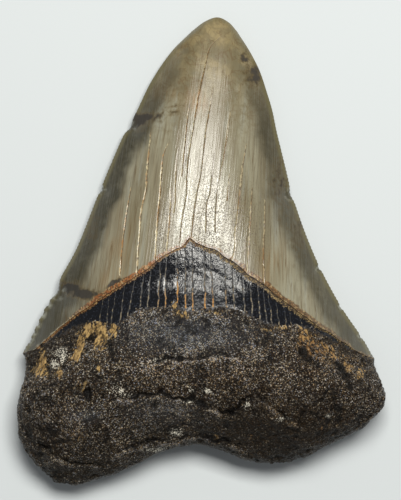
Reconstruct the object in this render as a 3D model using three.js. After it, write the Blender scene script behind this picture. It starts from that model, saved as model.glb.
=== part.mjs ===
// A fossil megalodon tooth, in millimetres.
// It is one solid piece of mineralised enamel and root. It lies on its flat labial face with the
// convex lingual face up, the tip towards +Y, and the origin under the middle of its outline.
//
// Two faces, lingual and labial, share one closed rim. Each face is made of two Coons patches that
// meet along the enamel border: the crown patch reaches up to the tip, the root patch down to the
// base. A patch gives the place in plan, and height functions give the level over that place.

import * as THREE from "three";
import { mergeVertices } from "three/addons/utils/BufferGeometryUtils.js";

const { clamp, lerp, smoothstep } = THREE.MathUtils;

// Driving dimensions
const ROOT_DEPTH = 25.5; // highest point of the root over the surface it lies on
const CROWN_DEPTH = 19.4; // lingual face at the apex of the enamel border
const LINGUAL_STEP = 0.6; // thickness of the enamel where it ends
const LABIAL_STEP = 0.42;
const SERRATION_PITCH = 1.0;
const SERRATION_DEPTH = 0.15;

// Mesh density
const COLUMNS = 42;
const CROWN_ROWS = 25;
const ROOT_ROWS = 24;
const EDGE_STEPS = 200;
const MERGE_DISTANCE = 1e-3;

// The outline in plan, clockwise from the left of the tip
const TIP = curve([[-2.3, 58.7], [1.2, 61.3], [4.6, 62.4], [7.6, 61.0], [9.7, 58.7]]);
const RIGHT_EDGE = curve([
  [9.7, 58.7], [13.1, 53.4], [15.8, 48.1], [17.6, 42.8], [19.2, 37.5], [20.3, 32.2], [21.6, 26.9],
  [22.9, 21.6], [24.2, 16.3], [27.7, 5.7], [32.2, -4.9], [38.0, -15.5], [43.2, -23.2], [46.2, -28.5],
]);
const LEFT_EDGE = curve([
  [-2.3, 58.7], [-7.6, 53.4], [-13.1, 45.4], [-17.5, 36.5], [-20.0, 32.2], [-26.9, 16.3],
  [-33.3, 0.4], [-38.2, -8.4], [-43.1, -18.2], [-47.4, -27.2],
]);
const RIGHT_ROOT = curve([
  [46.2, -28.5], [45.9, -30.0], [47.0, -32.2], [48.6, -35.6], [48.9, -39.0], [48.1, -41.6],
  [45.2, -44.4],
]);
const LEFT_ROOT = curve([
  [-47.4, -27.2], [-46.6, -29.6], [-46.8, -33.0], [-48.2, -39.6], [-48.6, -44.7], [-48.1, -49.8],
  [-44.6, -55.8],
]);
const BASE = curve([
  [-44.6, -55.8], [-40.9, -59.8], [-37.2, -61.9], [-31.4, -61.6], [-24.8, -59.8], [-18.4, -57.1],
  [-12.1, -53.9], [-5.4, -51.9], [0.0, -51.4], [7.8, -53.9], [12.9, -55.8], [18.7, -56.6],
  [25.8, -55.4], [33.0, -52.1], [39.9, -48.4], [43.4, -46.9], [45.2, -44.4],
]);

// The enamel border: a chevron on the lingual face, a low arch on the labial one
const LINGUAL_BORDER = curve([
  [-47.4, -27.2], [-43.4, -25.4], [-35.0, -18.4], [-25.3, -11.7], [-15.8, -5.7], [-9.0, -0.7],
  [-2.8, 3.2], [4.0, 0.3], [12.4, -5.8], [20.8, -12.2], [32.7, -20.7], [41.8, -26.6], [46.2, -28.5],
]);
const LABIAL_BORDER = curve([
  [-47.4, -27.2], [-38.0, -25.2], [-20.0, -20.4], [0.0, -18.2], [20.0, -20.8], [38.0, -26.0],
  [46.2, -28.5],
]);

// Levels along the tooth, each as [y, z]: the rim, the lingual crest and the labial floor
const RIM_LEVEL = stations([
  [-62, 8.6], [-50, 9.2], [-36, 9.6], [-28, 7.2], [-10, 5.0], [20, 4.0], [45, 3.4], [62.4, 3.0],
]);
const CREST_LEVEL = stations([
  [-62, 15.5], [-52, 20.5], [-42, 24.4], [-32, ROOT_DEPTH], [-22, 24.0], [-15, 22.0], [-7, 19.7],
  [-3, CROWN_DEPTH], [6, CROWN_DEPTH - 0.9], [18, 16.7], [30, 14.3], [42, 11.2], [52, 8.2],
  [58, 5.8], [62.4, 4.0],
]);
const FLOOR_LEVEL = stations([
  [-62, 1.6], [-52, -0.35], [-42, 0.1], [-32, 1.2], [-20, 1.5], [-8, 0.9], [6, 0.1], [16, -0.35],
  [38, -0.35], [50, 0.6], [62.4, 2.2],
]);

// Sections across a face: a higher power flattens the middle, a lower bend rounds the sides
const LINGUAL_CROWN = { power: 2.05, bend: 1 };
const LINGUAL_ROOT = { power: 3.4, bend: 0.5 };
const LABIAL_CROWN = { power: 2.4, bend: 0.95 };
const LABIAL_ROOT = { power: 5, bend: 0.5 };
const LOWER_CROWN_POWER = 0.4; // what the lingual power gains towards the enamel border
// How late each face of the root rounds off towards the base
const LINGUAL_BASE_POWER = 3.2;
const LABIAL_BASE_POWER = 5;

// Spans over which one form turns into the next: first in mm down from the origin
const LINGUAL_TO_ROOT = [18, 38];
const LABIAL_TO_ROOT = [18, 34];
const LOWER_CROWN = [-26, -4];
// In shares of the crown patch
const TIP_ROUNDING = [0, 0.09];
const BELOW_TIP = [0.03, 0.12];
const FLANK = [0.2, 0.9]; // out from the middle of a row
// In shares of the root patch
const BELOW_BORDER = [0.05, 0.45];
const ENAMEL_DROP = [0, 0.014];
const LINGUAL_STEP_END = [0.12, 0.4];
const LABIAL_STEP_END = [0.2, 0.6];
const LINGUAL_LUMPY = [0.2, 0.42];
const LABIAL_LUMPY = [0.1, 0.4];

// The band under the enamel border bulges in the middle, as [x, y, radius x, radius y, height]
const BOURLETTE_SWELLS = [[4, -11, 9, 6, 0.6]];
// Broad swells and hollows of the lingual root
const LINGUAL_SWELLS = [
  [-34, -48, 9, 9, 2.2],
  [-2, -34, 17, 8, 0.8],
  [24, -46, 11, 7, 1.4],
  [38, -37, 8, 6, 0.9],
  [-25, -44, 4, 7, -1.5],
  [-37, -33, 8, 4, 0.8],
  [15, -49, 5, 4, -0.8],
];
// The labial root is hollowed in the middle and lower at its two lobes, on which it rests
const LABIAL_SWELLS = [
  [-29, -49, 9, 7, -1.9],
  [25, -45, 9, 6, -1.9],
  [2, -48, 9, 9, 2.2],
  [0, -31, 24, 5, 0.8],
  [-41, -38, 6, 9, 0.7],
  [41, -38, 6, 7, 0.7],
];
// Waves that give the root its lumps, as [turn per mm of x, turn per mm of y, phase] in radians
const WAVES = [
  [0.62, 0.31, 0.0],
  [-0.37, 0.71, 1.7],
  [0.95, -0.52, 3.1],
  [0.21, 1.12, 4.4],
  [-1.21, 0.43, 5.2],
];
const LINGUAL_LUMPS = { height: 0.4, shift: 0 };
const LABIAL_LUMPS = { height: 0.25, shift: 2 };
// Pits, as [x, y, radius, depth]
const PITS = [
  [-29.4, -37.3, 1.9, 1.3],
  [27.4, -26.8, 2.0, 1.3],
  [37.5, -30.4, 2.1, 1.2],
  [-29.3, -22.4, 1.5, 0.9],
];
// Ledges on the lingual root. Each is a crack with a raised lip on its lower side.
const LEDGES = [
  { lip: 1.1, line: [[-24, -39.6], [-11.4, -37.1], [-2, -39.7], [9, -42], [14, -38.5], [28, -46.5]] },
  { lip: 0.7, line: [[-14.5, -28.9], [-4, -28.6], [4, -27.6], [12.5, -28.4]] },
  { lip: 0.8, line: [[-23, -53.6], [-13, -50.8], [0.7, -49.3], [12, -52.4]] },
  { lip: 0.6, line: [[-43, -51.5], [-34, -56.2], [-24, -56.9]] },
].map(({ lip, line }) => ({ from: line[0][0], to: line.at(-1)[0], level: stations(line), lip }));
const LEDGE_START = [-2, 4]; // mm past its first point over which a ledge grows
const LEDGE_END = [-4, 2]; // mm past its last point over which it fades
const LIP_RISE = [-1, 1.6]; // mm below the line of the ledge
const LIP_WIDTH = 4.2;
const CRACK_WIDTH = 1.4;
const CRACK_SHARE = 0.5; // depth of the crack over the height of the lip

// Chips in the cutting edges: place along the edge from 0 at the tip, half length, depth
const CHIPS = {
  left: [
    [0.315, 1.6, 0.75], [0.505, 1.0, 0.5], [0.808, 2.4, 1.1], [0.85, 0.8, 0.5], [0.88, 0.9, 0.35],
    [0.91, 0.7, 0.4], [0.935, 0.8, 0.3], [0.96, 1.0, 0.45],
  ],
  right: [[0.485, 1.7, 0.5], [0.705, 0.8, 0.4], [0.83, 0.8, 0.3], [0.93, 0.7, 0.3]],
};
// The serrations are worn away towards the tip and end at the root, in shares of the edge
const SERRATIONS_START = [0.08, 0.5];
const SERRATIONS_END = [0.985, 1];

function curve(points) {
  const knots = points.map(([x, y]) => new THREE.Vector3(x, y, 0));
  const c = new THREE.CatmullRomCurve3(knots, false, "centripetal");
  c.arcLengthDivisions = 600;
  return c;
}

// A smooth function through [place, value] pairs, held level past both ends
function stations(pairs) {
  const places = pairs.map((pair) => pair[0]);
  const through = new THREE.CubicInterpolant(places, pairs.map((pair) => pair[1]), 1);
  return (place) => through.evaluate(clamp(place, places[0], places.at(-1)))[0];
}

function bell(x) {
  return Math.exp(-x * x);
}

// From 0 at the start of a span to 1 at its end
function over(value, [from, to]) {
  return smoothstep(value, from, to);
}

function edgeOf(side) {
  return side === "left" ? LEFT_EDGE : RIGHT_EDGE;
}

// The direction out of the crown, square to a cutting edge
function outwardOf(side, q) {
  const along = edgeOf(side).getTangentAt(q);
  const outward = new THREE.Vector3(along.y, -along.x, 0);
  return side === "left" ? outward : outward.negate();
}

// A point of the cutting edge, with its chips taken out of it
function edgePoint(side, q) {
  const edge = edgeOf(side);
  const bitten = CHIPS[side].reduce((sum, [place, half, depth]) => {
    return sum + depth * bell(((q - place) * edge.getLength()) / half);
  }, 0);
  return edge.getPointAt(q).addScaledVector(outwardOf(side, q), -bitten);
}

// The Coons patch between four sides. p runs from left to right and q from top to bottom.
function coons(top, bottom, left, right) {
  const corners = [left(0), right(0), left(1), right(1)];
  return (p, q) => {
    const across = top(p).lerp(bottom(p), q);
    const along = left(q).lerp(right(q), p);
    const upper = corners[0].clone().lerp(corners[1], p);
    const lower = corners[2].clone().lerp(corners[3], p);
    return across.add(along).sub(upper.lerp(lower, q));
  };
}

function crownPatch(border) {
  return coons(
    (p) => TIP.getPointAt(p),
    (p) => border.getPointAt(p),
    (q) => edgePoint("left", q),
    (q) => edgePoint("right", q),
  );
}

function rootPatch(border) {
  return coons(
    (p) => border.getPointAt(p),
    (p) => BASE.getPointAt(p),
    (q) => LEFT_ROOT.getPointAt(q),
    (q) => RIGHT_ROOT.getPointAt(q),
  );
}

function lumps({ height, shift }, x, y) {
  const waves = WAVES.map(([kx, ky, phase]) => Math.sin(kx * x + ky * y + phase + shift));
  return (height * waves.reduce((sum, wave) => sum + wave, 0)) / WAVES.length;
}

function swell(list, x, y) {
  return list.reduce((sum, [cx, cy, rx, ry, height]) => {
    return sum + height * bell(Math.hypot((x - cx) / rx, (y - cy) / ry));
  }, 0);
}

function pitting(x, y) {
  return PITS.reduce((sum, [cx, cy, radius, depth]) => {
    return sum + depth * bell(Math.hypot(x - cx, y - cy) / radius);
  }, 0);
}

// The ledges' lips and cracks at a place
function ledges(x, y) {
  return LEDGES.reduce((sum, { from, to, level, lip }) => {
    const below = level(x) - y;
    const fade = over(x - from, LEDGE_START) * (1 - over(x - to, LEDGE_END));
    const raised = over(below, LIP_RISE) * Math.exp(-Math.max(0, below) / LIP_WIDTH);
    const cracked = CRACK_SHARE * bell((below + 1) / CRACK_WIDTH);
    return sum + fade * lip * (raised - cracked);
  }, 0);
}

// How full a section is at p, from 0 at the rim to 1 in the middle
function fullness(p, rooted, crown, root) {
  const aside = Math.abs(2 * p - 1);
  const power = lerp(crown.power, root.power, rooted);
  const bend = lerp(crown.bend, root.bend, rooted);
  return Math.max(0, 1 - aside ** power) ** bend;
}

// How full the crown is down from its tip
function roundedTip(q) {
  const left = 1 - Math.min(q / TIP_ROUNDING[1], 1);
  return Math.sqrt(1 - left * left);
}

// How full the root is down to its base
function roundedBase(q, power) {
  return Math.sqrt(1 - q ** power);
}

// The x of one side of the outline over y
function sideAcross(edge, root) {
  const downwards = [edge.getSpacedPoints(EDGE_STEPS), root.getSpacedPoints(EDGE_STEPS).slice(1)].flat();
  return stations(downwards.reverse().map(({ x, y }) => [y, x]));
}

const leftAcross = sideAcross(LEFT_EDGE, LEFT_ROOT);
const rightAcross = sideAcross(RIGHT_EDGE, RIGHT_ROOT);

// How far across the tooth a place lies: even across its row on the flanks of the crown, so that
// they slope evenly down to the cutting edges, and across the patch in the middle and on the root
function evenShare({ x, y }, p, q, inRoot) {
  const left = leftAcross(y);
  const row = clamp((x - left) / (rightAcross(y) - left), 0, 1);
  const evened = inRoot ? 1 - over(q, BELOW_BORDER) : over(q, BELOW_TIP);
  return lerp(p, row, over(Math.abs(2 * row - 1), FLANK) * evened);
}

// Each level function takes a place in plan, p across, q down the patch and which patch it is in
function lingualLevel({ x, y }, p, q, inRoot) {
  const rim = RIM_LEVEL(y);
  const rooted = over(-y, LINGUAL_TO_ROOT);
  const crown = {
    power: LINGUAL_CROWN.power + LOWER_CROWN_POWER * over(-y, LOWER_CROWN),
    bend: LINGUAL_CROWN.bend,
  };
  const share = evenShare({ x, y }, p, q, inRoot);
  const rounded = inRoot ? roundedBase(q, LINGUAL_BASE_POWER) : roundedTip(q);
  const full = rounded * fullness(share, rooted, crown, LINGUAL_ROOT);
  const level = rim + (CREST_LEVEL(y) - rim) * full;
  if (!inRoot) return level;
  const settled = Math.min(1, full * 2);
  const stepped = LINGUAL_STEP * over(q, ENAMEL_DROP) * (1 - over(q, LINGUAL_STEP_END));
  const grown = over(q, LINGUAL_LUMPY) * (lumps(LINGUAL_LUMPS, x, y) + swell(LINGUAL_SWELLS, x, y));
  const raised = swell(BOURLETTE_SWELLS, x, y) + ledges(x, y);
  return Math.max(rim, level + settled * (grown + raised - pitting(x, y) - stepped));
}

function labialLevel({ x, y }, p, q, inRoot) {
  const rim = RIM_LEVEL(y);
  const rooted = over(-y, LABIAL_TO_ROOT);
  const rounded = inRoot ? roundedBase(q, LABIAL_BASE_POWER) : roundedTip(q);
  const full = rounded * fullness(p, rooted, LABIAL_CROWN, LABIAL_ROOT);
  const level = rim - (rim - FLOOR_LEVEL(y)) * full;
  if (!inRoot) return Math.max(level, 0);
  const settled = Math.min(1, full * 2);
  const stepped = LABIAL_STEP * over(q, ENAMEL_DROP) * (1 - over(q, LABIAL_STEP_END));
  const grown = swell(LABIAL_SWELLS, x, y) + over(q, LABIAL_LUMPY) * lumps(LABIAL_LUMPS, x, y);
  return clamp(level + settled * (grown + stepped), 0, rim);
}

// Columns are even at 0 and crowd towards the rounded sides at 1
function columnPlace(j, crowded) {
  const even = j / COLUMNS;
  return lerp(even, (1 - Math.cos(Math.PI * even)) / 2, crowded);
}

// The columns crowd from the lower crown to the upper root, and stay half crowded at the border.
const CROWDING = { above: [0.75, 1], atBorder: 0.6, below: [0, 0.3] };

// How far down its patch each row of points lies: closer at the tip, and closer at the base
const TIP_CROWDING = 0.28;
const BASE_CROWDING = 0.7;

function crownRow(i) {
  const even = i / CROWN_ROWS;
  return lerp(even, even * even, TIP_CROWDING);
}

function rootRow(i) {
  const even = i / ROOT_ROWS;
  return i === 0 ? ENAMEL_DROP[1] : lerp(even, Math.sin((Math.PI / 2) * even), BASE_CROWDING);
}

// The rim of one side of the crown: fine points whose every second one is a serration's gap
function serratedRim(side) {
  const steps = 2 * Math.round(edgeOf(side).getLength() / SERRATION_PITCH);
  return Array.from({ length: steps + 1 }, (_, i) => {
    const q = i / steps;
    const unworn = over(q, SERRATIONS_START) * (1 - over(q, SERRATIONS_END));
    const bite = i % 2 ? SERRATION_DEPTH * unworn : 0;
    const point = edgePoint(side, q).addScaledVector(outwardOf(side, q), -bite);
    return { point: point.setZ(RIM_LEVEL(point.y)), down: q };
  });
}

// One column of a face, from the tip to the base. Each point knows how far down it lies: 0 at the
// tip, 1 at the enamel border and 2 at the base.
function column(j, border, levelOf) {
  const onSide = j === 0 || j === COLUMNS;
  const crown = crownPatch(border);
  const root = rootPatch(border);
  const crownPoints = Array.from({ length: CROWN_ROWS + 1 }, (_, i) => {
    const q = crownRow(i);
    const p = columnPlace(j, CROWDING.atBorder * over(q, CROWDING.above));
    const point = crown(p, q);
    return { point: point.setZ(i === 0 ? RIM_LEVEL(point.y) : levelOf(point, p, q, false)), down: q };
  });
  const rootPoints = Array.from({ length: ROOT_ROWS + 1 }, (_, i) => {
    const q = rootRow(i);
    const p = columnPlace(j, lerp(CROWDING.atBorder, 1, over(q, CROWDING.below)));
    const point = root(p, q);
    const onRim = onSide || i === ROOT_ROWS;
    return { point: point.setZ(onRim ? RIM_LEVEL(point.y) : levelOf(point, p, q, true)), down: 1 + q };
  });
  return [...(onSide ? serratedRim(j === 0 ? "left" : "right") : crownPoints), ...rootPoints];
}

function reach(a, b) {
  return a.point.distanceTo(b.point);
}

// Fills the strip between two columns with triangles, taking the next point down each time, and
// the shorter diagonal where the two columns have a point each
function zip(left, right, facingUp, triangles) {
  const put = (...three) => triangles.push(...(facingUp ? three : three.reverse()).map((at) => at.point));
  let i = 0;
  let j = 0;
  while (i < left.length - 1 || j < right.length - 1) {
    const leftDown = left[i + 1]?.down ?? Infinity;
    const rightDown = right[j + 1]?.down ?? Infinity;
    const shorter = leftDown === rightDown && reach(left[i + 1], right[j]) < reach(left[i], right[j + 1]);
    if (leftDown < rightDown || shorter) put(left[i], left[++i], right[j]);
    else put(left[i], right[j + 1], right[j++]);
  }
}

function faceTriangles(border, levelOf, facingUp) {
  const columns = Array.from({ length: COLUMNS + 1 }, (_, j) => column(j, border, levelOf));
  const triangles = [];
  for (let j = 0; j < COLUMNS; j++) zip(columns[j], columns[j + 1], facingUp, triangles);
  return triangles;
}

function toothGeometry() {
  const corners = [
    ...faceTriangles(LINGUAL_BORDER, lingualLevel, true),
    ...faceTriangles(LABIAL_BORDER, labialLevel, false),
  ];
  const loose = new THREE.BufferGeometry().setFromPoints(corners);
  const geometry = mergeVertices(loose, MERGE_DISTANCE);
  geometry.computeBoundingBox();
  const middle = geometry.boundingBox.getCenter(new THREE.Vector3());
  geometry.translate(-middle.x, -middle.y, 0);
  geometry.computeVertexNormals();
  return geometry;
}

const fossil = new THREE.MeshStandardMaterial({ color: 0x6f675a, roughness: 0.42, metalness: 0 });
const tooth = new THREE.Mesh(toothGeometry(), fossil);
tooth.name = "tooth";

const model = new THREE.Group();
model.add(tooth);

export default model;
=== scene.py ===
import bpy
import numpy as np
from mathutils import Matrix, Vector, noise
from mathutils.geometry import delaunay_2d_cdt
from mathutils.kdtree import KDTree


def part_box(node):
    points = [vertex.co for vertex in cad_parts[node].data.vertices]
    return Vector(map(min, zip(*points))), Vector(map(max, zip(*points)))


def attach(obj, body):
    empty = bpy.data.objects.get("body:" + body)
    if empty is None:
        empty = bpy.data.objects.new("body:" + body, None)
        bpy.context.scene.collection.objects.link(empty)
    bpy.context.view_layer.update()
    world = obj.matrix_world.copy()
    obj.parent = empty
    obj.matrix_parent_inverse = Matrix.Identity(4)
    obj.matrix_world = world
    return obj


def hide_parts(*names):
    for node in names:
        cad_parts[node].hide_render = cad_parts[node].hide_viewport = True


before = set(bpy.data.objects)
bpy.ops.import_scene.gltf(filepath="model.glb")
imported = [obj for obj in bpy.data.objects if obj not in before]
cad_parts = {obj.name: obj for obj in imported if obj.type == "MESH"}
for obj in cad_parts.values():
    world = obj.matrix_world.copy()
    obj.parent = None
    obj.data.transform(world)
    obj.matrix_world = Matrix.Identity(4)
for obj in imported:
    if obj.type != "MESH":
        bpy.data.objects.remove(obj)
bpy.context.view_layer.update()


# The outline
# The crown narrows to a blunt, worn tip between two serrated cutting edges. The root below it has
# two rounded lobes. Both are one piece, so one closed line runs round the whole tooth in plan.


class Line:
    """A smooth line through some points. A share of its length, from 0 to 1, gives a place on it."""

    def __init__(self, points):
        knots = np.array(points, float)
        knots = np.vstack([2 * knots[0] - knots[1], knots, 2 * knots[-1] - knots[-2]])
        gaps = np.sqrt(np.linalg.norm(np.diff(knots, axis=0), axis=1))
        t = np.linspace(0, 1, 40, endpoint=False)[:, None]
        parts = []
        for i in range(1, len(knots) - 2):
            a, b, c, d = knots[i - 1 : i + 3]
            before, here, after = gaps[i - 1 : i + 2]
            leaving = here * ((b - a) / before - (c - a) / (before + here) + (c - b) / here)
            arriving = here * ((c - b) / here - (d - b) / (here + after) + (d - c) / after)
            bend = 3 * (c - b) - 2 * leaving - arriving
            swing = 2 * (b - c) + leaving + arriving
            parts.append(b + leaving * t + bend * t**2 + swing * t**3)
        self.places = np.vstack([*parts, knots[-2:-1]])
        run = np.concatenate([[0], np.cumsum(np.linalg.norm(np.diff(self.places, axis=0), axis=1))])
        self.length = run[-1]
        self.shares = run / run[-1]

    def __call__(self, share):
        return np.stack([np.interp(share, self.shares, self.places[:, k]) for k in (0, 1)], -1)

    def heading(self, share):
        """The direction of the line at a place, taken over a millimetre of it."""
        reach = 0.5 / self.length
        ahead = self(np.minimum(share + reach, 1)) - self(np.maximum(share - reach, 0))
        return ahead / np.linalg.norm(ahead, axis=-1, keepdims=True)


TIP = Line([[-2.3, 58.7], [1.2, 61.3], [4.6, 62.4], [7.6, 61], [9.7, 58.7]])
RIGHT_EDGE = Line([
    [9.7, 58.7], [13.1, 53.4], [15.8, 48.1], [17.6, 42.8], [19.2, 37.5], [20.3, 32.2], [21.6, 26.9],
    [22.9, 21.6], [24.2, 16.3], [27.7, 5.7], [32.2, -4.9], [38, -15.5], [43.2, -23.2], [46.2, -28.5],
])
LEFT_EDGE = Line([
    [-2.3, 58.7], [-7.6, 53.4], [-13.1, 45.4], [-17.5, 36.5], [-20, 32.2], [-26.9, 16.3],
    [-33.3, 0.4], [-38.2, -8.4], [-43.1, -18.2], [-47.4, -27.2],
])
RIGHT_ROOT = Line([
    [46.2, -28.5], [45.9, -30], [47, -32.2], [48.6, -35.6], [48.9, -39], [48.1, -41.6], [45.2, -44.4],
])
LEFT_ROOT = Line([
    [-47.4, -27.2], [-46.6, -29.6], [-46.8, -33], [-48.2, -39.6], [-48.6, -44.7], [-48.1, -49.8],
    [-44.6, -55.8],
])
BASE = Line([
    [-44.6, -55.8], [-40.9, -59.8], [-37.2, -61.9], [-31.4, -61.6], [-24.8, -59.8], [-18.4, -57.1],
    [-12.1, -53.9], [-5.4, -51.9], [0, -51.4], [7.8, -53.9], [12.9, -55.8], [18.7, -56.6],
    [25.8, -55.4], [33, -52.1], [39.9, -48.4], [43.4, -46.9], [45.2, -44.4],
])

# The enamel ends in a chevron on the lingual face and in a low arch on the labial one. Its rim is
# crumbled a little.
CRUMB = 1.1
CRUMB_DEPTH = 0.55


def crumbled(points, seed):
    """The line through some points, with small random steps up and down."""
    line = Line(points)
    places = line(np.linspace(0, 1, round(line.length / CRUMB)))
    steps = [noise.noise(Vector((x / CRUMB / 2, seed, 0.5))) for x in places[:, 0]]
    places[2:-2, 1] += CRUMB_DEPTH * np.array(steps[2:-2])
    return Line(places)


LINGUAL_BORDER = crumbled([
    [-47.4, -27.2], [-43.4, -25.4], [-35, -18.4], [-25.3, -11.7], [-15.8, -5.7], [-9, -0.7],
    [-4.8, 1.5], [-2.8, 3.4], [-0.8, 1.9], [4, 0.2], [12.4, -5.8], [20.8, -12.2], [32.7, -20.7],
    [41.8, -26.6], [46.2, -28.5],
], 1.7)
LABIAL_BORDER = crumbled([
    [-47.4, -27.2], [-38, -25.2], [-20, -20.4], [0, -18.2], [20, -20.8], [38, -26], [46.2, -28.5],
], 5.3)

# Chips in the cutting edges: place along the edge from 0 at the tip, half length, depth
CHIPS = {
    "left": [
        (0.315, 1.6, 0.75), (0.505, 1, 0.5), (0.808, 2.4, 1.1), (0.85, 0.8, 0.5), (0.88, 0.9, 0.35),
        (0.91, 0.7, 0.4), (0.935, 0.8, 0.3), (0.96, 1, 0.45),
    ],
    "right": [(0.485, 1.7, 0.5), (0.705, 0.8, 0.4), (0.83, 0.8, 0.3), (0.93, 0.7, 0.3)],
}
EDGES = {"left": LEFT_EDGE, "right": RIGHT_EDGE}
SERRATION_PITCH = 1
SERRATION_DEPTH = 0.13


def smoothstep(x, low, high):
    t = np.clip((x - low) / (high - low), 0, 1)
    return t * t * (3 - 2 * t)


def bell(x):
    return np.exp(-x * x)


def outward(side, share):
    """The direction out of the crown, square to a cutting edge."""
    along = EDGES[side].heading(share)
    turned = np.stack([along[..., 1], -along[..., 0]], -1)
    return turned if side == "left" else -turned


def cutting_edge(side, share):
    """Places on a cutting edge, with its chips taken out."""
    edge = EDGES[side]
    bitten = sum(deep * bell((share - at) * edge.length / half) for at, half, deep in CHIPS[side])
    return edge(share) - outward(side, share) * bitten[..., None]


def serrated_edge(side):
    """The same with its serrations, which are worn away towards the tip. Also gives the shares."""
    edge = EDGES[side]
    teeth = round(edge.length / SERRATION_PITCH)
    share = np.linspace(0, 1, 4 * teeth + 1)
    worn = smoothstep(share, 0.08, 0.5) * (1 - smoothstep(share, 0.985, 1))
    gap = SERRATION_DEPTH * worn * (0.5 - 0.5 * np.cos(2 * np.pi * teeth * share))
    return share, cutting_edge(side, share) - outward(side, share) * gap[:, None]


# The body in plan
# Each face is two patches that meet at the enamel border: the crown up to the tip and the root down
# to the base. In a patch p runs from the left side to the right and q from the top to the bottom.


def coons(top, bottom, left, right):
    """The patch between four sides."""
    first, last = np.zeros(1), np.ones(1)
    corners = left(first), right(first), left(last), right(last)

    def patch(p, q):
        across = top(p) * (1 - q[:, None]) + bottom(p) * q[:, None]
        along = left(q) * (1 - p[:, None]) + right(q) * p[:, None]
        upper = corners[0] * (1 - p[:, None]) + corners[1] * p[:, None]
        lower = corners[2] * (1 - p[:, None]) + corners[3] * p[:, None]
        return across + along - upper * (1 - q[:, None]) - lower * q[:, None]

    return patch


def patches(border):
    """The crown patch and the root patch of the face with this enamel border."""
    return coons(TIP, border, LEFT_EDGE, RIGHT_EDGE), coons(border, BASE, LEFT_ROOT, RIGHT_ROOT)


def nearest(known, wanted):
    """The index of the known place in plan that lies nearest each wanted one, and how far it is."""
    tree = KDTree(len(known))
    for i, (x, y) in enumerate(known):
        tree.insert((x, y, 0), i)
    tree.balance()
    found = [tree.find((x, y, 0))[1:] for x, y in wanted]
    return [i for i, _ in found], np.array([far for _, far in found])


def found_in(patch, place):
    """The p and q of each place in plan: the nearest of a grid of places, then Newton's steps."""
    shares = np.linspace(0, 1, 60)
    reach = 2 * shares[1]
    p, q = (axis.ravel() for axis in np.meshgrid(shares, shares))
    start, _ = nearest(patch(p, q), place)
    p, q = p[start], q[start]
    p_span = np.clip([p - reach, p + reach], 0, 1)
    q_span = np.clip([q - reach, q + reach], 0, 1)
    nudge = 1e-3
    for _ in range(6):
        here = patch(p, q)
        across = (patch(p + nudge, q) - here) / nudge
        down = (patch(p, q + nudge) - here) / nudge
        miss = place - here
        turn = across[:, 0] * down[:, 1] - across[:, 1] * down[:, 0]
        turn = np.where(np.abs(turn) < 1e-6, np.inf, turn)
        p = np.clip(p + (miss[:, 0] * down[:, 1] - miss[:, 1] * down[:, 0]) / turn, *p_span)
        q = np.clip(q + (across[:, 0] * miss[:, 1] - across[:, 1] * miss[:, 0]) / turn, *q_span)
    return p, q


def through(pairs):
    """A smooth curve through [place, value] pairs, held level past both ends."""
    places, values = np.array(pairs, float).T
    slopes = np.diff(values) / np.diff(places)
    lean = np.concatenate([slopes[:1], (slopes[1:] + slopes[:-1]) / 2, slopes[-1:]])

    def curve(at):
        at = np.clip(at, places[0], places[-1])
        i = np.clip(np.searchsorted(places, at, side="right") - 1, 0, len(places) - 2)
        step = places[i + 1] - places[i]
        t = (at - places[i]) / step
        rise = (3 - 2 * t) * t * t
        start = values[i] * (1 - rise) + step * lean[i] * t * (1 - t) ** 2
        return start + values[i + 1] * rise - step * lean[i + 1] * t * t * (1 - t)

    return curve


def graph(line):
    """A line that runs across the tooth, as its y over x."""
    order = np.argsort(line.places[:, 0])
    return lambda x: np.interp(x, line.places[order, 0], line.places[order, 1])


lingual_border_y = graph(LINGUAL_BORDER)
labial_border_y = graph(LABIAL_BORDER)


# The levels
# The labial face is nearly flat and the lingual one domed. The root is thickest a third of the way
# down and falls away round its sides, and the enamel ends in a step over the bourlette.
ROOT_DEPTH = 25.5
CROWN_DEPTH = 19.4
SIDE_POWER = 3.4
BASE_POWER = 3.2
# How far below the middle the section of the crown turns into that of the root, on either face
LINGUAL_TURN, LABIAL_TURN = (18, 38), (18, 34)
ENAMEL_STEP = 0.6
STEP_WIDTH = 0.18

# As [y, z] along the tooth
rim_level = through([
    [-62, 8.6], [-50, 9.2], [-36, 9.6], [-28, 7.2], [-10, 5], [20, 4], [45, 3.4], [62.4, 3],
])
crest_level = through([
    [-62, 15.5], [-52, 20.5], [-42, 24.4], [-32, ROOT_DEPTH], [-22, 24], [-15, 22], [-11, 20.3],
    [-7, 19.5], [-3, CROWN_DEPTH], [6, CROWN_DEPTH - 0.9], [18, 16.7], [30, 14.3], [42, 11.2], [52, 8.2],
    [58, 5.8], [62.4, 4],
])
floor_level = through([
    [-62, 1.6], [-52, -0.35], [-42, 0.1], [-32, 1.2], [-20, 1.5], [-8, 0.9], [6, 0.1], [16, -0.35],
    [38, -0.35], [50, 0.6], [62.4, 2.2],
])

# How much of its height over the rim the enamel loses beside a chip
SCOOP = 0.4

# Folds of the bourlette that run along the enamel's rim
FOLD_LENGTH = 7
FOLD_WIDTH = 2
FOLD_HEIGHT = 0.24

# Swells and hollows of the root: x, y, radius along x and y, height
BOURLETTE_SWELLS = [(4, -11, 9, 6, 0.4)]
LINGUAL_SWELLS = [
    (-34, -48, 9, 9, 2.2), (-2, -34, 17, 8, 0.8), (24, -46, 11, 7, 1.4), (38, -37, 8, 6, 0.9),
    (-25, -44, 4, 7, -1.5), (-37, -33, 8, 4, 0.8), (15, -49, 5, 4, -0.8),
]
LABIAL_SWELLS = [
    (-29, -49, 9, 7, -1.9), (25, -45, 9, 6, -1.9), (2, -48, 9, 9, 2.2), (0, -31, 24, 5, 0.8),
    (-41, -38, 6, 9, 0.7), (41, -38, 6, 7, 0.7),
]
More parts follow.
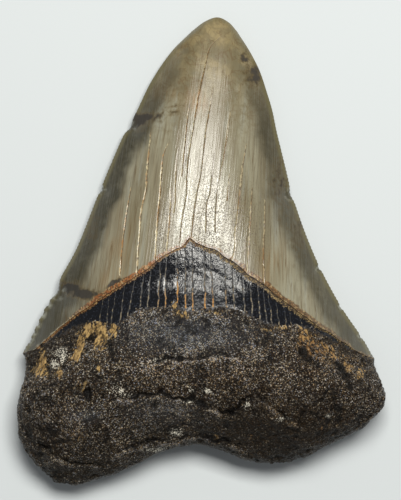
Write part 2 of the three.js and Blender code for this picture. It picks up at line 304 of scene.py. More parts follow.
# Pits in the lingual root: x, y, radius, depth
PITS = [
    (-29.4, -37.1, 1, 1.3), (-29.3, -38.6, 0.8, 1), (-29, -41.4, 1, 0.6), (-28.9, -22.9, 0.7, 0.8),
    (-45.1, -41.9, 0.8, 0.8), (-39.7, -47, 1.2, 0.8), (-12.1, -40.3, 0.9, 0.8), (-7.3, -40.7, 0.7, 0.7),
    (26.7, -26.5, 1.1, 1.4), (28.4, -28, 1.1, 1.1), (30.4, -29.8, 1.1, 0.7), (35.7, -29.5, 0.8, 0.8),
    (36.9, -30.8, 1.1, 1.2), (38.3, -32.4, 0.8, 0.9), (41.8, -34.1, 0.8, 0.6), (31, -43.7, 0.9, 0.6),
    (33.4, -44.3, 1, 0.7), (30.9, -48, 1.1, 0.5), (24.9, -51.7, 1.1, 0.6), (-20.8, -24, 1.6, 0.4),
]

# Ledges on the lingual root, each a dark crack whose lower side stands up as a lip: places, lip height
LEDGES = [
    ([[-24, -39.6], [-16, -38.1], [-11.4, -37.1], [-6.8, -38.8], [-2, -39.7], [4, -41.8],
      [9, -42], [12.9, -38.5], [15.2, -38.5], [20, -42.4], [28, -46.5]], 1.1),
    ([[-14.5, -28.9], [-4, -28.6], [4, -27.6], [12.5, -28.4]], 0.7),
    ([[-23, -53.6], [-19.4, -53], [-13, -50.8], [-6.7, -50.2], [0.7, -49.3], [4, -50.1],
      [12, -52.4]], 0.8),
    ([[-43, -51.5], [-34, -56.2], [-24, -56.9]], 0.6),
]
LIP_WIDTH = 4.2
LEDGE_CRACK = 0.45


def fullness(p, rooted, sharp, rounded):
    """How full the tooth is across, from 0 at its sides, by the power and bend of crown and root."""
    power = sharp[0] + (rounded[0] - sharp[0]) * rooted
    bend = sharp[1] + (rounded[1] - sharp[1]) * rooted
    return np.maximum(0, 1 - np.abs(2 * p - 1) ** power) ** bend


TIP_ROUNDING = 0.09


def rounded_tip(q):
    return np.sqrt(1 - (1 - np.minimum(q / TIP_ROUNDING, 1)) ** 2)


def even_share(x, y, p, q, in_root):
    """
    How far across the tooth a place lies: even across its row on the flanks of the crown, so that
    they slope evenly down to the cutting edges, and across the patch in the middle and on the root.
    """
    sides = (LEFT_EDGE, LEFT_ROOT), (RIGHT_EDGE, RIGHT_ROOT)
    outlines = [np.vstack([upper.places, lower.places[1:]]) for upper, lower in sides]
    left, right = (np.interp(-y, -outline[:, 1], outline[:, 0]) for outline in outlines)
    row = np.clip((x - left) / (right - left), 0, 1)
    flank = smoothstep(np.abs(2 * row - 1), 0.2, 0.9)
    evened = np.where(in_root, 1 - smoothstep(q, 0.05, 0.45), smoothstep(q, 0.03, 0.12))
    return p + (row - p) * flank * evened


def scooped(x, y):
    """How far a place lies in the hollow beside a chip, from 0 to 1."""
    hollow = np.zeros(len(x))
    for side, edge in EDGES.items():
        for at, half, deep in CHIPS[side]:
            cx, cy = edge(at) - outward(side, at) * deep
            hollow = np.maximum(hollow, bell(np.hypot(x - cx, y - cy) / (half + 0.7)))
    return hollow


def swell(forms, x, y):
    """The sum of some round forms, each as x, y, radius along x and y, height."""
    return sum(high * bell(np.hypot((x - cx) / rx, (y - cy) / ry)) for cx, cy, rx, ry, high in forms)


def wander(x, y, size, seed):
    """Slow noise over the plan, from -1 to 1."""
    return np.array([noise.noise(Vector((a, b, seed))) for a, b in zip(x / size, y / size)])


def ledge_relief(x, y):
    """The height of the ledges' lips less their cracks, how far a place is in a crack, and on a lip."""
    y = y + 1.3 * wander(x, y, 5.0, 3.1) + 0.9 * wander(x, y, 1.6, 6.1)
    uneven = np.clip(0.8 + 1.2 * wander(x, y / 3, 3.5, 9.7), 0.15, 1.2)
    relief = np.zeros(len(x))
    cracked = np.zeros(len(x))
    worn = np.zeros(len(x))
    for points, lip in LEDGES:
        below = through(points)(x) - y
        start, end = points[0][0], points[-1][0]
        fade = smoothstep(x, start - 2, start + 4) * (1 - smoothstep(x, end - 4, end + 2))
        raised = smoothstep(below, -0.9, 0.3) * np.exp(-np.maximum(0, below) / LIP_WIDTH)
        crack = bell((below + 0.6) / LEDGE_CRACK) * uneven
        relief += fade * lip * raised - fade * (0.25 + 0.45 * lip) * crack
        cracked = np.maximum(cracked, fade * crack)
        # The lips just below the cracks are lighter: worn, and painted light where light catches them
        worn = np.maximum(worn, fade * bell((below - 0.3) / 0.5) * (1.2 - uneven))
    return relief, cracked, worn


def lingual_level(x, y, p, q, in_root):
    """The level of the lingual face, how hollow it is, and how far it lies on a lip that is worn and
    painted lighter where light catches it, from 0 to 1.
    """
    rim = rim_level(y)
    rooted = smoothstep(-y, *LINGUAL_TURN)
    sharp = 2.05 + 0.4 * smoothstep(-y, -26, -4), 1
    full = fullness(even_share(x, y, p, q, in_root), rooted, sharp, (SIDE_POWER, 0.5))
    full *= np.where(in_root, np.sqrt(np.maximum(0, 1 - q**BASE_POWER)), rounded_tip(q))
    full *= 1 - SCOOP * scooped(x, y)
    settled = np.minimum(1, 2 * full)
    level = rim + (crest_level(y) - rim) * full
    below = (lingual_border_y(x) - y) * in_root
    stepped = smoothstep(below, 0, STEP_WIDTH) * (1 - smoothstep(q, 0.12, 0.4))
    grown = smoothstep(q, 0.2, 0.42)
    pits = sum(deep * bell(np.hypot(x - cx, y - cy) / radius) for cx, cy, radius, deep in PITS)
    relief, cracked, worn = ledge_relief(x, y)
    bumps = grown * swell(LINGUAL_SWELLS, x, y) + relief - pits - ENAMEL_STEP * stepped
    bumps += swell(BOURLETTE_SWELLS, x, y)
    folded = smoothstep(below, 0.5, 2) * (1 - smoothstep(below, 11, 15)) * bell((x - 5) / 10)
    bumps += FOLD_HEIGHT * folded * wander(x, FOLD_LENGTH / FOLD_WIDTH * below, FOLD_LENGTH, 4.4)
    level = np.maximum(rim, level + settled * bumps * in_root)
    hollow = np.maximum(cracked, np.minimum(1, pits)) * in_root
    return level, hollow, worn * in_root


def labial_level(x, y, p, q, in_root):
    """The level of the labial face, which is squarer across the root than the other."""
    rim = rim_level(y)
    rooted = smoothstep(-y, *LABIAL_TURN)
    full = fullness(p, rooted, (2.4, 0.95), (5, 0.5))
    full *= np.where(in_root, np.sqrt(np.maximum(0, 1 - q**5)), rounded_tip(q))
    level = rim - (rim - floor_level(y)) * full
    settled = np.minimum(1, 2 * full)
    below = (labial_border_y(x) - y) * in_root
    stepped = smoothstep(below, 0, STEP_WIDTH) * (1 - smoothstep(q, 0.2, 0.6))
    bumps = 0.7 * ENAMEL_STEP * stepped + swell(LABIAL_SWELLS, x, y)
    return np.clip(level + settled * bumps * in_root, 0, rim)


# Cracks and veins
# Long drying cracks run down the enamel along the growth of the tooth, open and filled with pale
# mud. Closer, finer ones cross the bourlette, the thin dark band between the enamel and the root.
CRACKS = [
    [[-18.4, 16.9], [-19.2, 12.4], [-20, 7.1], [-20.7, 1], [-21.3, -6.4]],
    [[-13.2, 31.5], [-13.7, 26.5], [-14.3, 19.8], [-14.4, 16.4], [-15.7, 10.6], [-16, 6.6], [-16.8, -5.6]],
    [[-8.5, 28.6], [-9.9, 25.1], [-10.4, 20.6], [-10.7, 14.8], [-11.3, 9.5], [-11.7, 2.9], [-12, -1.9]],
    [[-8, 16.6], [-8, 11.3], [-8.5, 4.5], [-9, -0.3]],
    [[-5.9, 27.2], [-6.5, 22.5], [-6.7, 12.9], [-7, 10]],
    [[-2.9, 40], [-3.8, 31.8], [-4.4, 25.7], [-5, 19.6]],
    [[5.4, 57.2], [2.6, 54.3], [1.6, 51.1], [1, 48.2], [0.2, 44.7], [-1, 38.4], [-2.2, 31],
     [-3.4, 23.8], [-3.6, 20.6], [-4, 13.7], [-5, 7.9], [-5.6, 2.3]],
    [[3.4, 43.2], [2.7, 39.4], [1.3, 31], [0.5, 23.8], [0.1, 20.4], [-1.1, 14.8], [-2, 8.2], [-2.5, 3.7]],
    [[3.6, 25.7], [3, 20.4], [2.4, 15.3], [1.6, 12.4], [1.3, 5]],
    [[5.1, 20.1], [4.6, 17.4], [3.9, 10.8], [3.8, 5]],
    [[7.8, 36.8], [6.6, 28], [4.9, 18.8]],
    [[7.5, 20.4], [7, 13.2]],
    [[12.1, 28.3], [11, 22.2], [10.3, 15.6], [9.8, 10.8], [9.1, 5], [8.9, 0.5], [8.2, -2.4]],
    [[13.6, 16.6], [13.1, 9.5], [12.7, 2.6], [12.2, -5.6]],
    [[17, 13.7], [16.8, 8.2], [16.5, 1], [16.7, -8.5]],
]
# The labial face has a few long ones
LABIAL_CRACKS = [
    [[-21.5, 12], [-22.6, 4], [-24, -6]],
    [[-8, 24], [-9.8, 12], [-11.4, -4], [-13, -17]],
    [[2.9, 41], [1.6, 20], [-0.4, 2], [-1.5, -16]],
    [[9.7, 14], [9.4, -2], [8.5, -18]],
    [[17.2, 6], [18.4, -8], [19, -19]],
    [[27.2, -12], [29, -22]],
]
CRACK_DEPTH = 0.13
CRACK_HALF = 0.11
CRACK_LIP = 0.03
STRIP = 0.4
# A pocket where the enamel has flaked off: x, distance above the rim, reach along x and up, depth
POCKET = (-22.9, 1.5, 1.7, 0.55, 0.45)

# The lower boundary of the bourlette, as [x, y]
bourlette_y = through([
    [-46, -27], [-38, -22.6], [-30, -18.6], [-21.5, -18.9], [-16.7, -15.4], [-9.9, -14.8],
    [-8.3, -14.8], [-6.7, -13.2], [-5.1, -15], [4.2, -14.8], [9.8, -15.4], [14.5, -17.8],
    [21.2, -19.6], [25.4, -19.6], [28.1, -20], [34.7, -23.2], [45, -28.6],
])
# Veins across it, as the x of their upper and lower ends
VEINS = [
    (-25.5, -26.6), (-23.9, -24.6), (-22.3, -23.4), (-19.9, -21), (-17.3, -19.1), (-14.9, -15.9),
    (-13, -13.9), (-10.6, -11), (-9, -9.2), (-6.2, -6), (-4, -4), (-2.2, -2), (1, 1.2),
    (2.6, 3.3), (6.1, 6.9), (8.2, 8.9), (10.8, 11.6), (12.7, 13.6), (15, 15.5), (16.4, 17.3),
    (17.7, 18.7), (19.7, 20.6), (21.7, 22.4), (23, 24), (25.6, 26.8), (28.4, 29.7),
]
VEIN_DEPTH = 0.02
VEIN_HALF = 0.12
# Over this length a crack or vein thins to its top end, by this much on each side
TAPER = 7
THINNED = 0.14
# A place farther than this from all of them counts as this far
FAR = 9.0


def wobbled(x, y, size, reach, seed):
    """The x of places down a line, with small sideways steps, as a crack has."""
    return x + reach * np.array([noise.noise(Vector((seed, v / size, 0.5))) for v in y])


def crack_lines(cracks, seed):
    """Each crack as places from its top down."""
    lines = []
    for k, points in enumerate(cracks):
        line = Line(points)
        places = line(np.linspace(0, 1, round(line.length / STRIP) + 1))
        places[:, 0] = wobbled(places[:, 0], places[:, 1], 1.0, 0.09, seed + 7.3 * k)
        lines.append(places)
    return lines


def vein_lines():
    """Each vein as places from the enamel border down to the root."""
    lines = []
    for k, (upper, lower) in enumerate(VEINS):
        top = lingual_border_y(upper) - 0.3
        bottom = float(bourlette_y(np.array([lower]))[0]) + 0.2
        count = max(3, round((top - bottom) / STRIP))
        y = np.linspace(top, bottom, count)
        x = wobbled(np.linspace(upper, lower, count), y, 1.4, 0.3, 3.7 * k + 90)
        lines.append(np.stack([x, y], -1))
    return lines


def side_step(lines, x, y):
    """The signed distance across to the nearest of some lines that run down the tooth."""
    least = np.full(len(x), FAR)
    for line in lines:
        at = np.interp(y, line[::-1, 1], line[::-1, 0])
        past = np.maximum(0, np.maximum(y - line[0, 1], line[-1, 1] - y))
        thinning = np.clip(1 - (line[0, 1] - y) / TAPER, 0, 1)
        away = (x - at) + np.sign(x - at) * (2 * past + THINNED * thinning)
        least = np.where(np.abs(away) < np.abs(least), away, least)
    return least


# The mesh
# The faces are triangulated in plan, finest on the rough root and along the cracks, the serrations
# and the enamel border. Then they are lifted to their levels and joined along the rim.

# How far apart the points lie on root and crown, and how near a loose one may lie to a line of them
ROOT_MESH, CROWN_MESH, CLEARANCE = 0.34, 0.65, 0.25
LABIAL_MESH, LABIAL_CROWN_MESH, LABIAL_CLEARANCE = 0.75, 1.1, 0.35
RIM_GAP = 0.15
# Lines of points run along each crack and each vein, this far to its sides
CRACK_STRIPS = (-2.5 * CRACK_HALF, -CRACK_HALF, 0, CRACK_HALF, 2.5 * CRACK_HALF)
VEIN_STRIPS = (-0.26, -VEIN_HALF, 0, VEIN_HALF, 0.26)
# Rough width and length of the root, and how far it rises there over its rim
ROOT_WIDTH, ROOT_RISE = 96, 15
ROOT_LENGTH, BASE_RISE = 50, 13
# Somewhat over the length of the enamel border, so that its points lie closer than a mesh width
BORDER_RUN = 150
# Sides of a box round the crown in plan
CROWN_X, CROWN_Y = (-48, 48), (-30, 63)


def evenly(profile, mesh):
    """Places from 0 to 1 that lie a mesh width apart on a profile of [across, level]."""
    steps = np.linalg.norm(np.diff(profile, axis=0), axis=1)
    run = np.concatenate([[0], np.cumsum(steps)])
    count = round(run[-1] / mesh)
    return np.interp(np.linspace(0, run[-1], count + 1), run, np.linspace(0, 1, len(profile)))


def section_places(mesh):
    """Columns and rows of the root that crowd where its sides grow steep."""
    fine = np.linspace(0, 1, 20001)
    dome = np.sqrt(np.maximum(0, 1 - np.abs(2 * fine - 1) ** SIDE_POWER))
    across = np.stack([ROOT_WIDTH * fine, ROOT_RISE * dome], -1)
    down = np.stack([ROOT_LENGTH * fine, BASE_RISE * np.sqrt(1 - fine**BASE_POWER)], -1)
    return evenly(across, mesh), evenly(down, mesh)


COLUMNS, ROWS = section_places(ROOT_MESH)


def closed_rim():
    """The whole outline, from the left of the tip down the left side and round."""
    left, right = (serrated_edge(side)[1] for side in EDGES)
    tip = TIP(np.linspace(1, 0, 40))
    rim = np.vstack([
        left[:-1], LEFT_ROOT(ROWS)[:-1], BASE(COLUMNS)[:-1],
        RIGHT_ROOT(ROWS)[:0:-1], right[:0:-1], tip[:-1],
    ])
    run = np.cumsum(np.linalg.norm(np.diff(rim, axis=0, prepend=rim[-1:]), axis=1))
    return rim[np.unique(np.floor(run / RIM_GAP), return_index=True)[1]]


def strip(places, offsets):
    """Lines beside a line at these offsets to its side."""
    along = np.gradient(places, axis=0)
    along /= np.linalg.norm(along, axis=1, keepdims=True)
    aside = np.stack([-along[:, 1], along[:, 0]], -1)
    return [places + aside * offset for offset in offsets]


def root_field(patch, columns, rows, rng):
    """Loose points of the root, a little out of line so that the mesh has no grain."""
    p, q = (axis.ravel() for axis in np.meshgrid(columns[1:-1], rows[:-1]))
    inner = (q > 0.02) & (q < 0.9) & (np.abs(p - 0.5) < 0.46)
    p = p + inner * rng.uniform(-0.3, 0.3, len(p)) * np.median(np.diff(columns))
    q = q + inner * rng.uniform(-0.3, 0.3, len(q)) * np.median(np.diff(rows))
    return patch(p, q)


def crown_field(mesh, rng):
    """Loose points over the box of the crown, in rows that are out of step."""
    high = 0.87 * mesh
    x, y = np.meshgrid(np.arange(*CROWN_X, mesh), np.arange(*CROWN_Y, high))
    x = x + 0.5 * mesh * (np.arange(len(y)) % 2)[:, None]
    places = np.stack([x.ravel(), y.ravel()], -1)
    return places + rng.uniform(-0.12, 0.12, places.shape) * mesh


def edge_bands(offsets):
    """Lines of points just inside the two cutting edges."""
    lines = []
    for side in EDGES:
        share, _ = serrated_edge(side)
        inner = cutting_edge(side, share)
        lines += [(inner - outward(side, share) * offset)[4:-6] for offset in offsets]
    return lines


def plan_mesh(rim, strips, field, clearance):
    """Triangles in plan inside the rim, with an edge along each strip. Loose points near one go."""
    points = [rim]
    count = len(rim)
    edges = [(i, (i + 1) % count) for i in range(count)]
    for line in strips:
        edges += [(count + i, count + i + 1) for i in range(len(line) - 1)]
        points.append(line)
        count += len(line)
    fixed = np.vstack(points)
    _, far = nearest(fixed, field)
    every = np.vstack([fixed, field[far > clearance]])
    made = delaunay_2d_cdt([Vector(place) for place in every.tolist()], edges, [], 1, 1e-7)
    places = np.array([tuple(v) for v in made[0]])
    on_rim = np.array([any(i < len(rim) for i in ids) for ids in made[3]])
    used, faces = np.unique(np.array(made[2]), return_inverse=True)
    return places[used], faces.reshape(-1, 3), on_rim[used]


def located(border, border_y, places):
    """Which places lie in the root patch, and each place's p and q in its own patch."""
    crown, root = patches(border)
    in_root = places[:, 1] < border_y(places[:, 0]) - 1e-6
    p = np.zeros(len(places))
    q = np.zeros(len(places))
    for patch, chosen in ((crown, ~in_root), (root, in_root)):
        p[chosen], q[chosen] = found_in(patch, places[chosen])
    return p, q, in_root


SEED = 11
rng = np.random.default_rng(SEED)
rim = closed_rim()
cracks = crack_lines(CRACKS, 0.0)
labial_cracks = crack_lines(LABIAL_CRACKS, 50.0)
veins = vein_lines()


def face_plan(border, border_y, crack_set, more_strips, border_strips, bands, mesh, crown_mesh, clearance):
    """The triangles of one face in plan, with lines of points this far from its border and edges."""
    along = border(np.linspace(0.004, 0.996, round(BORDER_RUN / mesh)))
    strips = [along] + strip(along[6:-6], border_strips) + more_strips + edge_bands(bands)
    for line in crack_set:
        strips += strip(line, CRACK_STRIPS)
    crown_points = crown_field(crown_mesh, rng)
    above = crown_points[:, 1] > border_y(crown_points[:, 0])
    _, root = patches(border)
    field = np.vstack([crown_points[above], root_field(root, *section_places(mesh), rng)])
    return plan_mesh(rim, strips, field, clearance)


vein_strips = [beside for line in veins for beside in strip(line, VEIN_STRIPS)]
lingual_plan = face_plan(
    LINGUAL_BORDER, lingual_border_y, cracks, vein_strips,
    border_strips=(-STEP_WIDTH, -0.5, 0.4), bands=(0.35, 0.8, 1.5),
    mesh=ROOT_MESH, crown_mesh=CROWN_MESH, clearance=CLEARANCE,
)
labial_plan = face_plan(
    LABIAL_BORDER, labial_border_y, labial_cracks, [],
    border_strips=(-STEP_WIDTH, -0.8), bands=(0.5, 1.3),
    mesh=LABIAL_MESH, crown_mesh=LABIAL_CROWN_MESH, clearance=LABIAL_CLEARANCE,
)


def above_line(line_y, x, y):
    """How far above a line that runs across the tooth a place lies, square to it."""
    slope = line_y(x + 0.5) - line_y(x - 0.5)
    return (y - line_y(x)) / np.hypot(1, slope)


# What time has left on the lingual face, and where light and shade are painted on it: x, y, radius along x
# and y, strength
BLOTCHES = {
    "stain": [
        (-17.8, 34.4, 3.6, 2.4, 1.1), (-13.2, 35.6, 4.2, 1.1, 0.6), (-6, 38.3, 5, 0.5, 0.35),
        (-6.5, 36.6, 4, 0.5, 0.35), (11.4, 51.8, 1.4, 1.8, 0.55), (12, 51, 0.9, 0.9, 0.3),
        (14.4, 46.9, 2.4, 3.9, 0.75), (3, 55.8, 1.4, 0.6, 0.3), (8.8, 55, 1.3, 0.5, 0.35),
        (-35.2, -9.6, 3.4, 1.6, 1), (-30.4, -11.4, 3.6, 1.3, 1.1), (-29, 6, 2.4, 4, 0.4),
        (21, 18, 2.4, 8, 0.5), (26, 5, 3, 7, 0.45),
    ],
    "rust": [
        (-1, 39.8, 2.4, 3.4, 1.1), (-21.5, 1, 3.6, 9, 0.5), (-24.5, -8, 3, 3, 0.4),
        (-9.5, 41.5, 4, 1.6, 0.4), (17.5, -5, 2, 5, 0.45), (21, -2, 2.5, 5, 0.3),
    ],
    "tan": [
        (-26.4, -21.4, 1.7, 4, 1.3), (-27.3, -16.4, 0.5, 1.8, 0.8), (-29.5, -20.4, 1.1, 1.9, 1),
        (-31.4, -23.2, 1.2, 2.6, 1), (-32, -26, 1.2, 2, 0.9), (-33, -28, 1.1, 1.3, 1.2),
        (-22.8, -20.8, 1.1, 1.8, 1.3), (-41.6, -29.4, 1.2, 3.4, 1.1), (-43.6, -31.4, 1.3, 2, 0.8),
        (-37.3, -31.8, 0.9, 1.3, 1.2), (-26.6, -30.4, 0.5, 0.8, 0.9), (26.6, -21.6, 1, 2.4, 0.7),
        (28.9, -24.6, 3, 3.4, 0.5), (33.5, -26.6, 3.2, 2.4, 0.45), (38.4, -29.4, 2.6, 2.2, 0.45),
        (42.2, -32.6, 1.6, 2.6, 0.5), (18.9, -20.4, 2.6, 0.9, 0.55), (21.9, -19.9, 0.7, 1, 0.6),
        (-6.7, -14, 0.9, 1.1, 1.4), (-4.6, -16.2, 1.8, 1.3, 0.7), (5, -16, 6, 0.7, 0.35),
        (31.6, -46.7, 0.9, 0.7, 0.6), (4.1, -48.9, 1.4, 0.6, 0.5), (-33, -48.4, 4.5, 2, 0.25),
        (-30.6, -35.6, 1.6, 2.2, 0.35), (12.3, -48.6, 1.6, 1, 0.3), (9.6, -34, 3, 2.4, 0.2),
    ],
    # Pale grains, and painted glints on grains and on the lit lips of the ledges
    "pale_and_glint": [
        (-36.3, -27.2, 0.9, 1.4, 1.1), (-38.3, -29.7, 1.2, 1, 1.2), (-37, -26.2, 2.4, 1.8, 0.45),
        (-21.8, -36.2, 2, 1.2, 0.8), (-18.8, -37.4, 1.2, 0.6, 0.8), (-6.5, -47.9, 1.5, 1, 1.1),
        (1.7, -36.3, 1.1, 0.8, 0.9), (-2.4, -36.1, 0.7, 0.9, 0.7), (-3.2, -39.2, 1.4, 0.5, 0.9),
        (12.1, -40.6, 0.7, 0.9, 1.1), (33.3, -43, 0.7, 0.5, 1.1), (21.5, -43.7, 1.6, 0.4, 0.8),
        (43.4, -42, 0.6, 0.5, 0.8), (-11, -28.4, 2, 0.6, 0.6), (-6, -53, 3, 0.6, 0.5),
        (-12, -52.4, 2.6, 0.7, 0.7),
    ],
    # A slate-grey zone, whose blue-grey is partly a painted sheen
    "slate_and_sheen": [(-4, -21.5, 17, 5, 1), (-10, -41.6, 9, 3, 0.6), (-30, -43.2, 4, 1.6, 0.8)],
    "warm": [
        (4, -33.5, 18, 4.5, 0.6), (34, -29, 10, 6, 0.6), (6, -46, 14, 5, 0.5),
        (28, -25, 5, 5, 0.7), (-33, -48, 7, 4, 0.4), (27, -48, 17, 7, 1.1),
    ],
    "pepper": [(3, 5, 8, 15, 1), (-10, 4, 3, 9, 0.7), (14, 3, 4, 12, 0.3)],
    # Painted shade on the wings, the flanks and the lower root, and darker olive patches near the tip
    "dark_patch_and_shade": [
        (-4, 54.5, 3, 3, 0.45), (-7, 45.5, 3.5, 3.5, 0.42), (-12.5, 40, 4, 4, 0.42),
        (-33, -10, 6, 9, 0.6), (-40, -20, 6, 6, 1), (-44, -25, 4, 4, 0.8),
        (41, -21.5, 6, 6, 0.8), (36, -12, 3, 5, 0.4), (17.5, 34, 2.5, 9, 0.42),
        (21.5, 12.5, 4, 9, 0.5), (27.5, 0.5, 3, 8, 0.5), (13.5, 44, 2.5, 6, 0.4),
        (24, -47.5, 22, 9, 0.9), (-44, -52, 7, 9, 0.4), (-30, -58, 14, 3, 0.5),
    ],
}


def groove_depth(crack, vein, y):
    """How far the cracks and veins cut in, less the low lip on one side of a crack."""
    uneven = 0.75 + 0.5 * wander(np.full(len(y), 2.0), y, 4.0, 8.8)
    cut = CRACK_DEPTH * uneven * np.maximum(0, 1 - np.abs(crack) / CRACK_HALF)
    lip = CRACK_LIP * bell((crack + 2 * CRACK_HALF) / CRACK_HALF)
    return cut - lip + VEIN_DEPTH * (1 - smoothstep(np.abs(vein), VEIN_HALF, 0.3))


def lifted(plan, border, border_y, crack_set, vein_set, lingual):
    """One face in space: its places, its faces, and what its materials read, in mm or 0 to 1."""
    flat, faces, on_rim = plan
    x, y = flat.T
    p, q, in_root = located(border, border_y, flat)
    crack = side_step(crack_set, x, y)
    vein = side_step(vein_set, x, y)
    marks = {
        "border": above_line(border_y, x, y),
        "crack": np.abs(crack),
        "crack_side": np.clip(crack, -1, 1),
        "vein": np.abs(vein),
    }
    groove = smoothstep(np.minimum(p, 1 - p), 0.0, 0.03) * groove_depth(crack, vein, y)
    if lingual:
        level, marks["hollow"], marks["worn"] = lingual_level(x, y, p, q, in_root)
        marks["chipped"] = scooped(x, y)
        marks["under"] = -above_line(bourlette_y, x, y)
        marks |= {name: swell(blotches, x, y) for name, blotches in BLOTCHES.items()}
        at, over, reach, high, deep = POCKET
        pocket = bell(np.hypot((x - at) / reach, (marks["border"] - over) / high))
        marks["stain"] += 1.6 * pocket
        level = level - groove - deep * pocket
    else:
        level = labial_level(x, y, p, q, in_root) + groove
        marks["under"] = -marks["border"] + 0.6
        marks |= {name: np.zeros(len(x)) for name in ("hollow", "worn", "chipped", *BLOTCHES)}
    level = np.where(on_rim, rim_level(y), level)
    return np.stack([x, y, level], -1), faces, marks


def joined(top, bottom):
    """Both faces as one closed shell, whose rim vertices are shared."""
    (top_places, top_faces, top_marks), (low_places, low_faces, low_marks) = top, bottom
    places = np.vstack([top_places, low_places])
    faces = np.vstack([top_faces, low_faces[:, ::-1] + len(top_places)])
    _, first, same = np.unique(places.round(5), axis=0, return_index=True, return_inverse=True)
    faces = same.ravel()[faces]
    kept, faces = np.unique(faces, return_inverse=True)
    both = {name: np.concatenate([top_marks[name], low_marks[name]]) for name in top_marks}
    marks = {name: values[first][kept] for name, values in both.items()}
    return places[first][kept], faces.reshape(-1, 3), marks


places, faces, marks = joined(
    lifted(lingual_plan, LINGUAL_BORDER, lingual_border_y, cracks, veins, lingual=True),
    lifted(labial_plan, LABIAL_BORDER, labial_border_y, labial_cracks, [], lingual=False),
)
# How much of the relief of the root and of the bourlette a place gets
marks["rooted"] = smoothstep(marks["under"], -0.6, 1.6)
marks["glazed"] = smoothstep(-marks["border"], 0.3, 1.2) * (1 - marks["rooted"])
marks["glazed"] *= bell((places[:, 0] - 2) / 12)

shares = np.linspace(0, 1, 1500)
edge_places = np.vstack([cutting_edge(side, shares) for side in EDGES] + [TIP.places])
_, marks["edge"] = nearest(edge_places, places[:, :2])

# The tooth grew a little aslant, except on its right, and its streaks follow that
GROWTH_LEAN = 0.125
x, y, z = places.T
lean = GROWTH_LEAN * (1 - smoothstep(x, 8, 22))
grown = np.stack([x - lean * y, y, z], -1)

# From here on the mesh is in metres
MM = 0.001
shell = bpy.data.meshes.new("fossil_tooth")
shell.from_pydata((places * MM).tolist(), [], faces.tolist())
for name, values in marks.items():
    shell.attributes.new(name, "FLOAT", "POINT").data.foreach_set("value", values.astype(np.float32))
layer = shell.attributes.new("grown", "FLOAT_VECTOR", "POINT")
layer.data.foreach_set("vector", grown.astype(np.float32).ravel())
centres = places[faces].mean(1)
skins = {
    "enamelled": marks["border"][faces].mean(1) > -0.02,
    "dull": marks["under"][faces].mean(1) + 1.2 * wander(centres[:, 0], centres[:, 1], 0.9, 2.2) > 0,
}
for name, chosen in skins.items():
    shell.attributes.new(name, "BOOLEAN", "FACE").data.foreach_set("value", chosen)
shell.polygons.foreach_set("use_smooth", np.ones(len(faces), bool))


def in_scene(name, data):
    """A new object that stands in the scene."""
    made = bpy.data.objects.new(name, data)
    bpy.context.scene.collection.objects.link(made)
    return made


rough_tooth = in_scene("rough_tooth", shell)


# The enamel
# Enamel turned to stone and polished by sand and water: a hard, glassy skin that shows grey and
# olive streaks along its growth, iron stains, and cracks packed with pale mud.


def linear(code):
    """An sRGB hex colour as linear red, green, blue and alpha."""
    parts = [int(code[i : i + 2], 16) / 255 for i in (1, 3, 5)]
    return (*[c / 12.92 if c <= 0.04045 else ((c + 0.055) / 1.055) ** 2.4 for c in parts], 1.0)


def adder(tree):
    """The function that adds nodes to a tree."""

    def add(kind, *values, out=0, stops=(), **named):
        """
        Adds a node and gives one of its outputs. A kind in capitals is an operation of the Math node.
        Values, hex colours and links go to its inputs in order, or by a name that starts with a
        capital. The other names are its settings.
        """
        if kind.isupper():
            kind, named["operation"] = "Math", kind
        node = tree.nodes.new(kind if "Node" in kind else "ShaderNode" + kind)
        for name, value in named.items():
            if name[0].islower():
                setattr(node, name, value)
        for _ in stops[2:]:
            node.color_ramp.elements.new(0.5)
        for i, (place, code) in enumerate(stops):
            node.color_ramp.elements[i].position = place
            node.color_ramp.elements[i].color = linear(code)
        given = list(zip([socket for socket in node.inputs if socket.enabled], values))
        given += [
            (node.inputs[name.replace("_", " ")], named[name]) for name in named if name[0].isupper()
        ]
        for socket, value in given:
            if isinstance(value, bpy.types.NodeSocket):
                tree.links.new(value, socket)
            elif value is not None:
                is_colour = isinstance(value, str) and value.startswith("#")
                socket.default_value = linear(value) if is_colour else value
        if isinstance(out, str):
            return node.outputs[out]
        shown = [socket for socket in node.outputs if socket.enabled]
        return shown[out] if shown else node

    return add


def new_finish(name):
    """A new material and the function that adds its nodes."""
    finish = bpy.data.materials.new(name)
    finish.use_nodes = True
    finish.node_tree.nodes.clear()
    return finish, adder(finish.node_tree)


# Settings that many nodes share
smooth = {"interpolation_type": "SMOOTHSTEP"}
times = {"operation": "MULTIPLY"}


def new_skin(name):
    """The same for a skin of the tooth, with places on it in mm, upright and aslant as it grew."""
    skin, add = new_finish(name)
    place = add("VectorMath", add("TexCoord", out="Object"), (1 / MM, 1 / MM, 1 / MM), **times)
    return skin, add, place, add("Attribute", attribute_name="grown", out="Vector")


def marks_of(add, *names):
    """What the mesh notes under these names."""
    return [add("Attribute", attribute_name=name, out="Fac") for name in names]


def thin_lines(add, noise_level, width, strength=1):
    """Thin winding lines, where a noise is at its middle."""
    off_middle = add("ABSOLUTE", add("SUBTRACT", noise_level, 0.5))
    return add("MapRange", off_middle, 0, width, strength, 0)


def layered(add, colour, layers, **settings):
    """A colour under some layers, each with its mask and its own colour."""
    for mask, tint in layers:
        colour = add("Mix", mask, colour, tint, data_type="RGBA", **settings)
    return colour


enamel, add, place, grown = new_skin("polished_fossil_enamel")
across, along = (add("SeparateXYZ", place, out=axis) for axis in "XY")
edge, border, stain, dark_patch_and_shade, rust, pepper, crack, crack_side, chipped = marks_of(
    add, "edge", "border", "stain", "dark_patch_and_shade", "rust", "pepper", "crack", "crack_side", "chipped"
)

